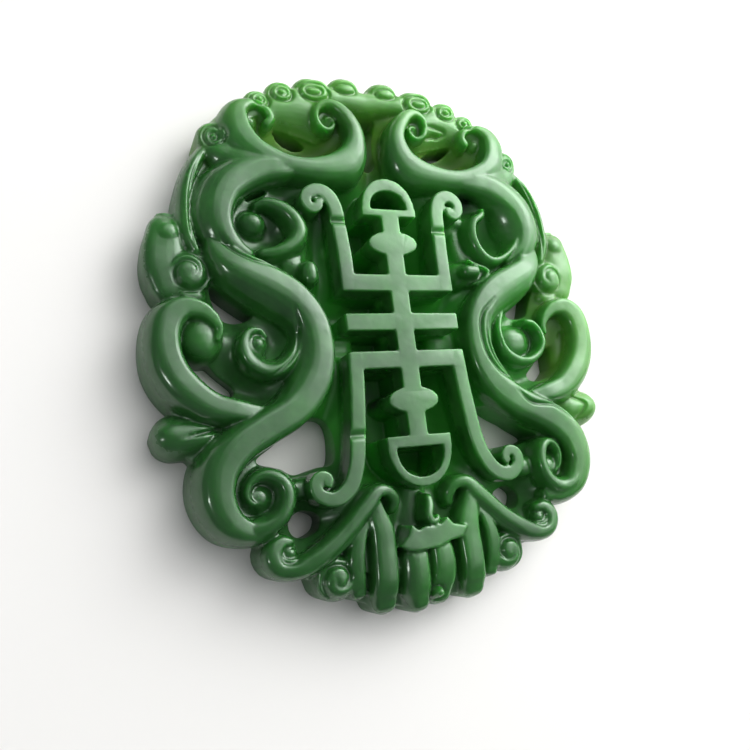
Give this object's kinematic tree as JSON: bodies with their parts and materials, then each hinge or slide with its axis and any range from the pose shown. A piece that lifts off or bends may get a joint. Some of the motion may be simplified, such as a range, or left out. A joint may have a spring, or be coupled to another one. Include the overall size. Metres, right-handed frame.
{
  "type": "carved jade pendant",
  "caption": "Oval openwork jade plaque carved with scrolling serpents round a sunk fret above a bat, with a slot at the crown for a cord.",
  "frame": {"origin": "middle of the plaque's box, on its flat back", "axes": "+Z out of the carved face, +Y up towards the crown where the cord passes, +X to the viewer's right"},
  "size_m": [0.048, 0.054, 0.006],
  "materials": {
    "jade": "polished deep green nephrite, slightly translucent"
  },
  "bodies": {
    "root": {"pendant": "jade"}
  },
  "joints": []
}
